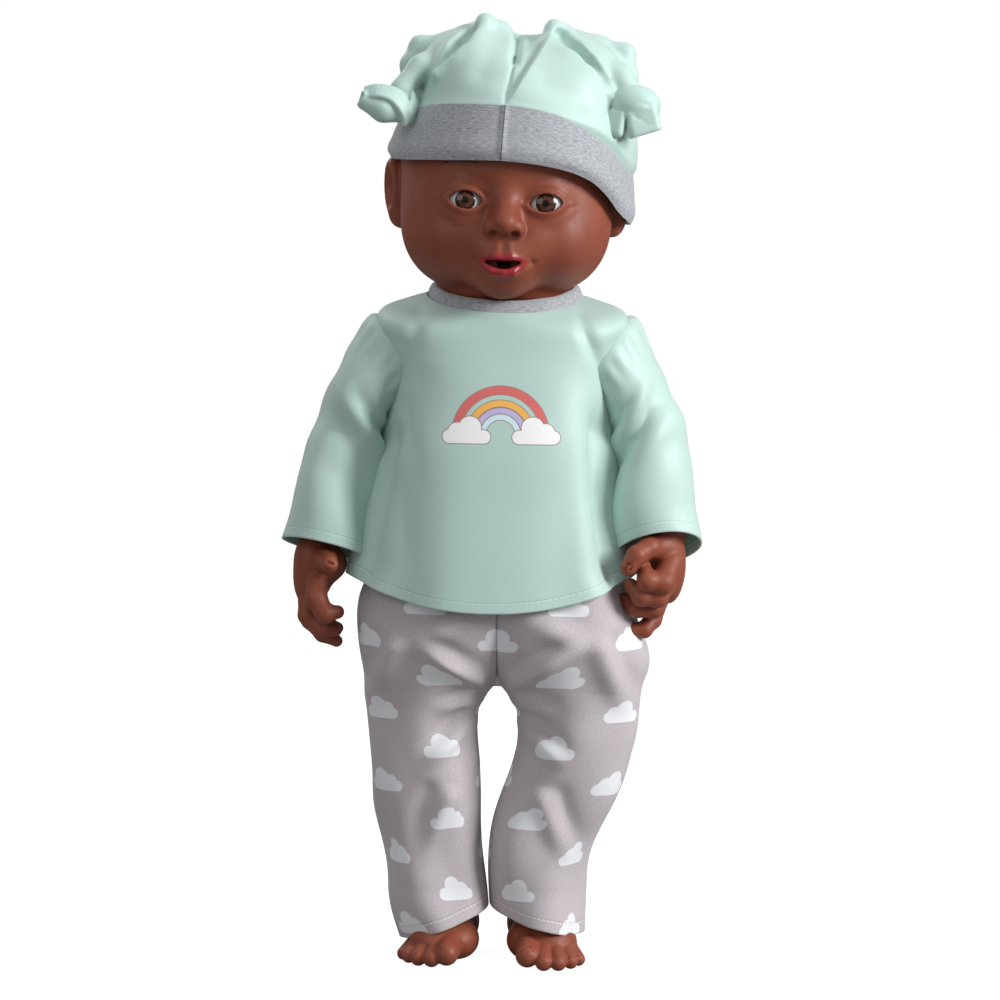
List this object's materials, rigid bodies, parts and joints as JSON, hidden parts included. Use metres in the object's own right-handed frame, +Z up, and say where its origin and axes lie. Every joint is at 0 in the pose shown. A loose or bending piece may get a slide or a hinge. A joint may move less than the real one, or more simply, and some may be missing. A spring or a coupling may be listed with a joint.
{
  "type": "interactive baby doll",
  "caption": "Baby doll with jointed vinyl limbs, turning head, sound works in the torso, and a knotted hat, top and trousers.",
  "frame": {"origin": "on the floor under the middle of the standing doll's outline", "axes": "+Z up along the doll's height, -Y the way it faces, +X the doll's left side"},
  "size_m": [0.1883, 0.1234, 0.4298],
  "materials": {
    "skin_vinyl": "satin",
    "eye_gloss": "gloss",
    "mouth_red": "satin",
    "mint_cloth": "matte",
    "grey_jersey": "matte",
    "cloud_cloth": "matte",
    "hook_tape": "matte",
    "hard_plastic": "satin",
    "dark_plastic": "satin",
    "steel": "satin",
    "contact_brass": "satin",
    "battery_wrap": "gloss",
    "board_green": "satin",
    "chip_black": "matte",
    "part_tan": "satin",
    "cone_paper": "matte",
    "magnet_iron": "matte",
    "red_wire": "matte",
    "black_wire": "matte",
    "switch_white": "satin",
    "button_pink": "satin"
  },
  "bodies": {
    "torso": {"torso_front_shell": "hard_plastic", "torso_back_shell": "hard_plastic", "shell_screws": "steel", "neck_post": "hard_plastic", "battery_tray": "dark_plastic", "battery_door": "hard_plastic", "battery_door_screw": "steel", "batteries": "battery_wrap", "battery_contacts": "contact_brass", "circuit_board": "board_green", "sound_chip": "chip_black", "board_parts": "part_tan", "speaker_frame": "steel", "speaker_cone": "cone_paper", "speaker_magnet": "magnet_iron", "speaker_leads": "red_wire", "battery_leads": "black_wire", "power_switch_case": "dark_plastic", "tummy_button_spring": "steel", "tummy_switch": "dark_plastic", "neck_leads": "black_wire", "top_bodice": "mint_cloth", "top_neckband": "grey_jersey", "top_back_fastener": "hook_tape", "trouser_seat": "cloud_cloth", "trouser_waistband": "cloud_cloth"},
    "head": {"head_shell": "skin_vinyl", "neck_ring": "hard_plastic", "eye_left": "eye_gloss", "eye_right": "eye_gloss", "mouth_cup": "mouth_red", "mouth_switch": "dark_plastic", "mouth_leads": "black_wire"},
    "hat": {"hat_crown": "mint_cloth", "hat_brim": "grey_jersey", "hat_knot_left": "mint_cloth", "hat_knot_right": "mint_cloth"},
    "arm_left_body": {"arm_left": "skin_vinyl", "shoulder_plug_left": "dark_plastic", "sleeve_left": "mint_cloth"},
    "arm_right_body": {"arm_right": "skin_vinyl", "shoulder_plug_right": "dark_plastic", "sleeve_right": "mint_cloth"},
    "leg_left_body": {"leg_left": "skin_vinyl", "hip_plug_left": "dark_plastic", "trouser_leg_left": "cloud_cloth"},
    "leg_right_body": {"leg_right": "skin_vinyl", "hip_plug_right": "dark_plastic", "trouser_leg_right": "cloud_cloth"},
    "button_body": {"tummy_button": "button_pink"},
    "power_knob": {"power_switch_knob": "switch_white"},
    "plunger_body": {"mouth_plunger": "switch_white"}
  },
  "joints": [
    {"name": "neck_turn", "type": "hinge", "parent": "torso", "child": "head", "pos_m": [0, 0.002, 0.305], "axis": [0, 0, 1], "range_deg": [-80, 80]},
    {"name": "hat_lift", "type": "slide", "parent": "head", "child": "hat", "axis": [0, 0, 1], "range_m": [0, 0.12]},
    {"name": "shoulder_left", "type": "hinge", "parent": "torso", "child": "arm_left_body", "pos_m": [0.0436, 0, 0.275], "axis": [-1, 0, 0], "range_deg": [-40, 110]},
    {"name": "shoulder_right", "type": "hinge", "parent": "torso", "child": "arm_right_body", "pos_m": [-0.0436, 0, 0.275], "axis": [-1, 0, 0], "range_deg": [-40, 110]},
    {"name": "hip_left", "type": "hinge", "parent": "torso", "child": "leg_left_body", "pos_m": [0.028, 0, 0.145], "axis": [-0.9063, 0, 0.4226], "range_deg": [-15, 90]},
    {"name": "hip_right", "type": "hinge", "parent": "torso", "child": "leg_right_body", "pos_m": [-0.028, 0, 0.145], "axis": [-0.9063, 0, -0.4226], "range_deg": [-15, 90]},
    {"name": "tummy_press", "type": "slide", "parent": "torso", "child": "button_body", "axis": [0, 1, 0], "range_m": [0, 0.0025], "stiffness_N_per_m": 600, "springref_m": -0.001, "deforming": ["tummy_button_spring"]},
    {"name": "power_slide", "type": "slide", "parent": "torso", "child": "power_knob", "axis": [1, 0, 0], "range_m": [0, 0.004]},
    {"name": "mouth_press", "type": "slide", "parent": "head", "child": "plunger_body", "axis": [0, 1, 0], "range_m": [0, 0.002], "stiffness_N_per_m": 300, "springref_m": -0.001}
  ]
}
